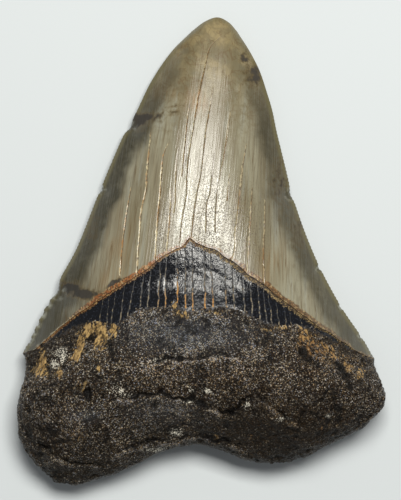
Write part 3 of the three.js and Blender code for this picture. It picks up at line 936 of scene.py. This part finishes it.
# Noise drawn out along the growth, by the width, length and detail of its streaks. It changes
# slowly with the level, by this share.
LEVEL_SHARE = 0.15
STREAKS = (5, 40, 2), (1.6, 24, 2), (0.6, 14, 2), (0.32, 7, 1), (0.5, 0.8, 2), (1.2, 30, 1)
swaths, bands, threads, hairs, beads, seams = (
    add("TexNoise", add("VectorMath", grown, (1 / wide, 1 / long, LEVEL_SHARE / wide), **times), 1, detail)
    for wide, long, detail in STREAKS
)
clouds, ragged, grains = (
    add("TexNoise", place, 1 / size, detail) for size, detail in ((6, 4), (1.4, 4), (0.42, 2))
)

# Hair cracks, and the swirling growth lines of the tip
hair_cracks = add("MULTIPLY", thin_lines(add, seams, 0.035), add("MapRange", threads, 0.42, 0.6))
swirls = thin_lines(add, add("TexNoise", place, 1 / 3.6, 2, Distortion=0.8), 0.03)
swirls = add("MULTIPLY", swirls, add("MapRange", along, 22, 45, 0, 0.55))

# The dark olive band inside the cutting edges, which fades towards the tip: partly the enamel's own colour,
# partly painted shade on the steep flanks
shaken = add("ADD", add("MapRange", clouds, 0.3, 0.7, -1, 1), edge)
dark_band_and_shade = add("MapRange", across, -5, 5, 1, 0.8)
for part in (
    add("MapRange", shaken, 7, 3.6, 0, 1, **smooth),
    add("MapRange", along, 56, 30, 0, 1, **smooth),
    add("MapRange", ragged, 0.3, 0.6, 0.88, 1, **smooth),
):
    dark_band_and_shade = add("MULTIPLY", dark_band_and_shade, part)

mottled = add("MapRange", clouds, 0.4, 0.64, 0, 0.75, **smooth)
blot = add("MULTIPLY_ADD", stain, 1.1, add("MapRange", ragged, 0.25, 0.75, -0.35, 0.35))
rusted = add("MULTIPLY", rust, add("MapRange", threads, 0.4, 0.6, 0.1, 0.8))
pits = add("MULTIPLY", pepper, add("MapRange", grains, 0.54, 0.62))

# The open cracks hold pale mud, in beads, beside a brown margin. The middle ones are mostly brown, their
# beads partly painted glints off the crack edges.
at_sides = add("MapRange", add("ABSOLUTE", add("ADD", across, 0.5)), 5, 9)
crack_reach = add("ADD", add("MapRange", beads, 0.3, 0.7, -0.2, 0.2), crack)
high_up = add("MapRange", along, 24, 36)
packed = add("MapRange", crack_reach, add("MULTIPLY_ADD", high_up, 0.12, 0.22), 0.06)
beaded = add("MAXIMUM", add("MapRange", beads, 0.48, 0.54, 0, 0.9), add("MULTIPLY", at_sides, 0.85))
muddy = add("MULTIPLY", packed, beaded)
muddy = add("MULTIPLY", muddy, add("MapRange", across, -6, 10, 1, 0.6))
mud_colour = layered(add, "#c4b894", (
    (add("MapRange", clouds, 0.46, 0.6), "#96764c"),
    (add("MULTIPLY", rust, add("MapRange", ragged, 0.42, 0.55)), "#9c6636"),
))
margin = add("ABSOLUTE", add("SUBTRACT", crack_side, 0.16))
margin = add("MapRange", margin, 0.06, 0.22, 0.85, 0)
margin = add("MULTIPLY", margin, add("MapRange", crack, 0.4, 0.5, 1, 0))

# Ochre mud set hard along the rim of the enamel, narrow at the middle and at both ends
seam_colour = add("ValToRGB", add("MapRange", across, -48, 46), stops=[
    (0, "#7a7668"), (0.12, "#8d8672"), (0.2, "#7c4a20"), (0.36, "#8c5527"), (0.5, "#6a4824"),
    (0.62, "#6e4c2a"), (0.8, "#654a2d"), (1, "#54442e"),
])
seam_colour = layered(add, seam_colour, (
    (add("MapRange", beads, 0.5, 0.66, 0, 0.7), "#b49d72"),
    (add("MapRange", grains, 0.52, 0.42, 0, 0.8), "#2a1f10"),
))
seam_width = add("MapRange", add("ABSOLUTE", add("ADD", across, 2)), 2, 14, 0.45, 1.1)
for tail, start, least in ((-36, -29, 0.15), (40, 30, 0.3)):
    seam_width = add("MULTIPLY", seam_width, add("MapRange", across, tail, start, least, 1))
seam = add("MULTIPLY_ADD", ragged, 1.6, add("SUBTRACT", border, seam_width))
seam = add("MapRange", seam, 1, 0.7, 0, 0.95)

# The very edge darkens below the tip. Chips show fresh, glassy breaks. Stains are browner where thin.
rim_shade = add("MapRange", edge, 1.5, 0.5, 0, 1, **smooth)
rim_shade = add("MULTIPLY", rim_shade, add("MapRange", along, 45, 58, 1, 0.4))
# Their pale grey flecks are partly painted glints
chip_colour = layered(add, "#38352a", [(add("MapRange", ragged, 0.46, 0.62), "#8f9188")])
thinly = add("MapRange", blot, 0.3, 0.8, 1, 0)
blot_colour = layered(add, "#1c150a", [(high_up, "#241c12"), (thinly, "#5a4a26")])

# The streaks fade out towards the tip, which is mottled instead.
streaky = add("MapRange", along, 24, 42, 1, 0.15, **smooth)
streaks, hairlines, fissures = (
    add("MULTIPLY", streaky, mask)
    for mask in (
        add("MapRange", threads, 0.48, 0.72, 0, 0.4, **smooth),
        add("MapRange", hairs, 0.57, 0.66, 0, 0.3, **smooth),
        add("MULTIPLY", hair_cracks, 0.6),
    )
)
tip_spots = add("MULTIPLY", add("MapRange", along, 26, 40), add("MapRange", ragged, 0.46, 0.6, 0, 0.6))
colour = layered(add, "#8e8a76", (
    (add("MapRange", swaths, 0.4, 0.64, 0, 0.7, **smooth), "#6b624a"),
    (add("MapRange", bands, 0.4, 0.66, 0, 0.45, **smooth), "#736951"),
    (add("MapRange", bands, 0.45, 0.3, 0, 0.4, **smooth), "#8f9188"),
    (streaks, "#5c5340"),
    (hairlines, "#5a4d36"),
    (add("MapRange", along, 34, 56, 0, 0.85, **smooth), "#8b7b55"),
    (add("MULTIPLY", add("MapRange", along, 30, 45), mottled), "#625c47"),
    (tip_spots, "#6c6146"),
    # Painted shade on the wings and flanks, and darker olive near the tip
    (add("MULTIPLY", dark_patch_and_shade, add("MapRange", threads, 0.3, 0.6, 0.6, 1)), "#352e1c"),
    (swirls, "#5d492c"),
    (rusted, "#82602f"),
    (fissures, "#57431f"),
    # The dark band: the enamel's own olive and painted shade of the flanks
    (dark_band_and_shade, "#302b16"),
    (add("MULTIPLY", rim_shade, 0.9), "#5a5330"),
    (add("MapRange", blot, 0.15, 0.75, 0, 0.92, **smooth), blot_colour),
    (add("MapRange", chipped, 0.4, 0.9, 0, 0.7), chip_colour),
    (pits, "#3c2e1c"),
    (seam, seam_colour),
    (margin, "#4a3417"),
    (muddy, mud_colour),
))
ripple = add("MULTIPLY_ADD", threads, 2, add("MULTIPLY", hairs, 1.6))
ripple = add("MULTIPLY_ADD", grains, add("MapRange", pepper, 0, 1, 0.3, 1.2), ripple)
ripple = add("MULTIPLY_ADD", pits, -1.5, ripple)
bumped = add("Bump", Strength=0.4, Distance=0.09 * MM, Height=ripple)
gloss = add("MapRange", bands, 0.3, 0.7, 0.25, 0.37)
gloss = add("MAXIMUM", gloss, add("MapRange", blot, 0.3, 0.8, 0, 0.6))
shader = add("BsdfPrincipled", Base_Color=colour, Roughness=gloss, IOR=1.63, Normal=bumped)
add("OutputMaterial", shader)


# The bourlette
# The thin band of old glaze between the enamel and the root: black, glassy and crumpled like foil,
# so that it glints in splinters, with pale mud in its veins that turns to ochre in the middle.
glaze, add, place, grown = new_skin("glassy_black_bourlette")
across = add("SeparateXYZ", place, out="X")
under, vein, border = marks_of(add, "under", "vein", "border")
creases, flakes = (
    add("TexNoise", add("VectorMath", grown, (1 / wide, 1 / long, 1 / wide), **times), 1, 3)
    for wide, long in ((0.8, 1), (0.35, 0.45))
)
grains = add("TexNoise", place, 1 / 0.8, 4, 0.6)
ochre = add("MapRange", under, -6.5, -1.5)
for low, high in ((-13, -8), (8, 4)):
    ochre = add("MULTIPLY", ochre, add("MapRange", across, low, high))
vein_colour = layered(add, "#7a6e58", [(ochre, "#b07c30")])
vein_reach = add("ADD", add("MapRange", grains, 0.3, 0.7, -0.2, 0.2), vein)
vein_reach = add("MULTIPLY_ADD", ochre, -0.1, vein_reach)
crust = add("MULTIPLY_ADD", grains, 3, under)

# The enamel's rim throws crumbs of its ochre seam over the band, more of them to the left
at_left = add("MapRange", across, 2, -6)
seam_colour = layered(add, "#33261a", (
    (at_left, "#5c3614"),
    (add("MapRange", flakes, 0.5, 0.62, 0, 0.7), "#a08a5c"),
    (add("MapRange", flakes, 0.46, 0.38, 0, 0.6), "#140e08"),
))
fuzz = add("Mix", at_left, add("MapRange", across, 20, 34, 2.2, 0.6), 1.0)
rim_reach = add("MULTIPLY_ADD", grains, fuzz, border)
rim_reach = add("MULTIPLY_ADD", flakes, 0.9, rim_reach)
rim_mask = add("MapRange", rim_reach, 0.2, 0.6)
colour = layered(add, "#090b10", (
    # Blue-grey flakes, partly a painted sheen of the crumpled glaze
    (add("MapRange", flakes, 0.56, 0.68, 0, 0.75), "#2b303c"),
    (add("MapRange", vein_reach, 0.08, 0, 0, 0.9), vein_colour),
    (add("MapRange", crust, 1.4, 2.2, 0, 0.8), "#33291e"),
    (rim_mask, seam_colour),
))
middle = add("ABSOLUTE", add("SUBTRACT", across, 3))
foil = add("MULTIPLY_ADD", flakes, 0.8, creases)
foil = add("MULTIPLY", foil, add("MapRange", middle, 6, 12, 1, 0.15))
bumped = add("Bump", Strength=1, Distance=0.14 * MM, Height=foil)
gloss = add("MapRange", crust, 0.9, 1.9, 0, 0.6)
for duller in (
    add("MapRange", flakes, 0.48, 0.6, 0.05, 0.24),
    add("MULTIPLY", rim_mask, 0.7),
    add("MapRange", vein, 0.16, 0.28, 0.6, 0),
):
    gloss = add("MAXIMUM", gloss, duller)
shader = add("BsdfPrincipled", Base_Color=colour, Roughness=gloss, IOR=1.5, Normal=bumped)
add("OutputMaterial", shader)


# The root
# Dentine that lay in dark river mud: porous, dull and almost black, specked with sand, with tan
# fibrous bone where its skin is rubbed off.
dentine, add, place, grown = new_skin("weathered_fossil_dentine")
hollow, worn, tan, pale_and_glint, slate_and_sheen, warm, dark_patch_and_shade, grit, under = marks_of(
    add, "hollow", "worn", "tan", "pale_and_glint", "slate_and_sheen", "warm", "dark_patch_and_shade", "grit", "under"
)
# Each speck of sand is a cell with its own value and hue. The lightest specks are partly painted glints.
SPECK = 0.22
cells = add("TexVoronoi", place, 1 / SPECK, out="Color")
value, hue = (add("SeparateXYZ", cells, out=axis) for axis in "XY")
sand, crumbs, clods = (add("TexNoise", place, 1 / size, 2, 0.6) for size in (0.45, 1.7, 6.5))
FIBRE_WIDTH, FIBRE_LENGTH = 0.625, 2.381
fibres = add("VectorMath", grown, (1 / FIBRE_WIDTH, 1 / FIBRE_LENGTH, 1 / FIBRE_WIDTH), **times)
fibres = add("TexNoise", fibres, 1, 4, 0.6)
# The slate zone is mottled, its blue-grey partly a painted sheen
smeared = add("MULTIPLY", slate_and_sheen, add("MapRange", clods, 0.38, 0.62, -0.1, 0.34))
tone = add("ADD", value, smeared)
# Painted light and shade in the tone: lighter on raised places and on the lips, darker in low places and
# shaded patches
for found, weight in ((sand, 0.1), (crumbs, 0.16), (clods, 0.3), (grit, 0.25), (worn, 0.5), (dark_patch_and_shade, -0.2)):
    tone = add("MULTIPLY_ADD", found, weight, tone)
body = add("ValToRGB", add("MapRange", tone, 0.46, 1.38), stops=[
    (0, "#030100"), (0.2, "#0d0700"), (0.36, "#1c1106"), (0.5, "#2c2012"), (0.64, "#403629"),
    (0.78, "#58534a"), (0.9, "#7f7b73"), (1, "#afaba4"),
])
tinge = add("ValToRGB", hue, stops=[(0, "#a4b6ec"), (0.4, "#ffffff"), (0.7, "#ffe7b8"), (1, "#e0ad60")])
amber = add("MULTIPLY", warm, add("MapRange", clods, 0.42, 0.6, 0.2, 0.55))
# The slate zone turns blue-grey, partly a painted sheen
body = layered(add, body, [(0.75, tinge), (slate_and_sheen, "#cad5e0"), (amber, "#dfbf88")], blend_type="MULTIPLY")

# Bone shows in fibres where the skin is gone, and flints are the few white grains, with painted glints
# among them
bared = add("ADD", add("MapRange", fibres, 0.35, 0.65, -0.45, 0.45), tan)
for found, reach in ((sand, 0.2), (crumbs, 0.35)):
    bared = add("ADD", bared, add("MapRange", found, 0.3, 0.7, -reach, reach))
bared = add("MapRange", bared, 0.4, 0.85, 0, 0.95, **smooth)
bared = add("MULTIPLY", bared, add("MapRange", tan, 0.05, 0.3))
bone = add("ValToRGB", fibres, stops=[(0.34, "#35281a"), (0.46, "#856a43"), (0.6, "#c2a26a")])
bone = layered(add, bone, [(add("MULTIPLY", warm, 0.7), "#75491f")])
flints_and_glints = add("MULTIPLY_ADD", pale_and_glint, add("MapRange", crumbs, 0.4, 0.6, 0.3, 1), value)
body = layered(add, body, (
    # Partly a painted sheen over the slate zone
    (add("MULTIPLY", slate_and_sheen, 0.22), "#5c606a"),
    # Painted shade: darker towards the base of the root
    (add("MapRange", under, 16, 36, 0, 0.45), "#0f0a00"),
    (bared, bone),
    (add("MapRange", flints_and_glints, 0.95, 1.2), "#dcd7c8"),
    # Painted shade over the low right and the base of the root
    (add("MULTIPLY", dark_patch_and_shade, 0.36), "#191003"),
    # Painted shade in the low places of the relief
    (add("MapRange", grit, 0.28, 0.1, 0, 0.6), "#060504"),
    # Painted shade: the cracks and pits darken nearly to black
    (add("MapRange", hollow, 0.15, 0.7, 0, 0.9), "#040303"),
))
bumped = add("Bump", Strength=1, Distance=0.5 * MM, Height=add("MULTIPLY_ADD", value, 0.6, sand))
shader = add(
    "BsdfPrincipled",
    Base_Color=body, Roughness=add("MapRange", hue, 0.3, 0.7, 0.6, 0.3), IOR=1.5, Specular_IOR_Level=0.2,
    Normal=bumped,
)
add("OutputMaterial", shader)

# The skin of the root is thrown up and eaten away at random, along its normals, by forms of these
# sizes in mm. The crumples are the bourlette's.
RELIEF = {
    "Lump size": 5.5, "Lump height": 2.2, "Grain size": 1.0, "Grain height": 1.0,
    "Crumple size": 2.2, "Crumple height": 0.3, "Crevice size": 9.0, "Crevice height": -0.9,
}
relief_tree = bpy.data.node_groups.new("weathered_relief", "GeometryNodeTree")
add = adder(relief_tree)
for in_out in ("INPUT", "OUTPUT"):
    relief_tree.interface.new_socket("Geometry", in_out=in_out, socket_type="NodeSocketGeometry")
for name in RELIEF:
    relief_tree.interface.new_socket(name, in_out="INPUT", socket_type="NodeSocketFloat")
scaled = {name: add("MULTIPLY", add("NodeGroupInput", out=name), MM) for name in RELIEF}
here = add("GeometryNodeInputPosition")
lump, grain, crumple, crevice = (
    add("TexNoise", here, seed, add("DIVIDE", 1.0, scaled[form + " size"]), 3, 0.55, noise_dimensions="4D")
    for form, seed in (("Lump", 3.0), ("Grain", 8.0), ("Crumple", 5.0), ("Crevice", 7.0))
)
crevice = add("MULTIPLY", thin_lines(add, crevice, 0.035, 0.4), add("MapRange", lump, 0.54, 0.46))
lumps, grains, crumples = (
    add("MULTIPLY", add("SUBTRACT", found, 0.5), scaled[form + " height"])
    for found, form in ((lump, "Lump"), (grain, "Grain"), (crumple, "Crumple"))
)
height = add("ADD", add("ADD", lumps, grains), add("MULTIPLY", crevice, scaled["Crevice height"]))
rooted, glazed = (
    add("GeometryNodeInputNamedAttribute", name, data_type="FLOAT") for name in ("rooted", "glazed")
)
height = add("ADD", add("MULTIPLY", height, rooted), add("MULTIPLY", crumples, glazed))
shift = add("VectorMath", add("GeometryNodeInputNormal"), Scale=height, operation="SCALE")
moved = add("GeometryNodeSetPosition", add("NodeGroupInput", out="Geometry"), Offset=shift)
# The height is kept, for painted shade in the low places of the root and painted light on its raised ones
grit = add("MapRange", add("SUBTRACT", add("ADD", lump, grain), crevice), 0.6, 1.4)
noted = add("GeometryNodeStoreNamedAttribute", moved, None, "grit", grit, data_type="FLOAT", domain="POINT")
coated = add("GeometryNodeSetMaterial", add("GeometryNodeRealizeInstances", noted), None, glaze)
for skin, finish in (("dull", dentine), ("enamelled", enamel)):
    chosen = add("GeometryNodeInputNamedAttribute", skin, data_type="BOOLEAN")
    coated = add("GeometryNodeSetMaterial", coated, chosen, finish)
add("NodeGroupOutput", coated)

weathering = rough_tooth.modifiers.new("weathering", "NODES")
weathering.node_group = relief_tree
for item in relief_tree.interface.items_tree:
    if item.name in RELIEF:
        weathering[item.identifier] = RELIEF[item.name]
bpy.context.view_layer.update()
seen = rough_tooth.evaluated_get(bpy.context.evaluated_depsgraph_get())
tooth_mesh = bpy.data.meshes.new_from_object(seen)
bpy.data.objects.remove(rough_tooth)

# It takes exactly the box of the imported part.
CREASE_ANGLE = 58
places = np.empty(3 * len(tooth_mesh.vertices), np.float32)
tooth_mesh.vertices.foreach_get("co", places)
places = places.reshape(-1, 3).astype(float)
low, high = (np.array(corner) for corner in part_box("tooth"))
places = low + (places - places.min(0)) / np.ptp(places, axis=0) * (high - low)
tooth_mesh.vertices.foreach_set("co", places.astype(np.float32).ravel())
tooth_mesh.set_sharp_from_angle(angle=np.radians(CREASE_ANGLE))
tooth = in_scene("fossil_tooth", tooth_mesh)
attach(tooth, "root")
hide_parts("tooth")


# Floor, light and camera
# A plain pale floor under a wide soft window light from beyond the tip, seen from straight above.
FLOOR_REACH = 3.0
floor_mesh = bpy.data.meshes.new("floor")
corners = [(FLOOR_REACH * x, FLOOR_REACH * y, 0) for x, y in ((-1, -1), (1, -1), (1, 1), (-1, 1))]
floor_mesh.from_pydata(corners, [], [(0, 1, 2, 3)])
floor = in_scene("floor", floor_mesh)
card, add = new_finish("matt_card")
add("OutputMaterial", add("BsdfPrincipled", Base_Color="#c6ccd0", Roughness=0.9))
floor_mesh.materials.append(card)

WINDOW_PLACE = Vector((0.08, 0.245, 0.72))
WINDOW_TARGET = Vector((0, 0.01, 0.01))
WINDOW_SIZE = 0.365, 0.252
WINDOW_WATTS = 7.4
SKY_STRENGTH = 0.22
light = bpy.data.lights.new("window", "AREA")
light.shape = "RECTANGLE"
light.size, light.size_y = WINDOW_SIZE
light.energy = WINDOW_WATTS
light.color = linear("#fffcf4")[:3]
window = in_scene("window", light)
window.location = WINDOW_PLACE
window.rotation_euler = (WINDOW_TARGET - WINDOW_PLACE).to_track_quat("-Z", "Y").to_euler()

sky = bpy.data.worlds.new("soft_sky")
sky.use_nodes = True
sky.node_tree.nodes["Background"].inputs["Color"].default_value = linear("#f4f5f4")
sky.node_tree.nodes["Background"].inputs["Strength"].default_value = SKY_STRENGTH
bpy.context.scene.world = sky
bpy.context.scene.view_settings.view_transform = "Standard"

# The frame is measured at the level of the tooth's outline
SENSOR = 36
CAMERA_HEIGHT = 0.8
FRAME_HEIGHT = 0.1325
OUTLINE_LEVEL = 0.008
camera = in_scene("camera", bpy.data.cameras.new("camera"))
camera.location = (-0.0002, 0.0002, CAMERA_HEIGHT)
camera.data.sensor_width = SENSOR
camera.data.lens = SENSOR * (CAMERA_HEIGHT - OUTLINE_LEVEL) / FRAME_HEIGHT
bpy.context.scene.camera = camera
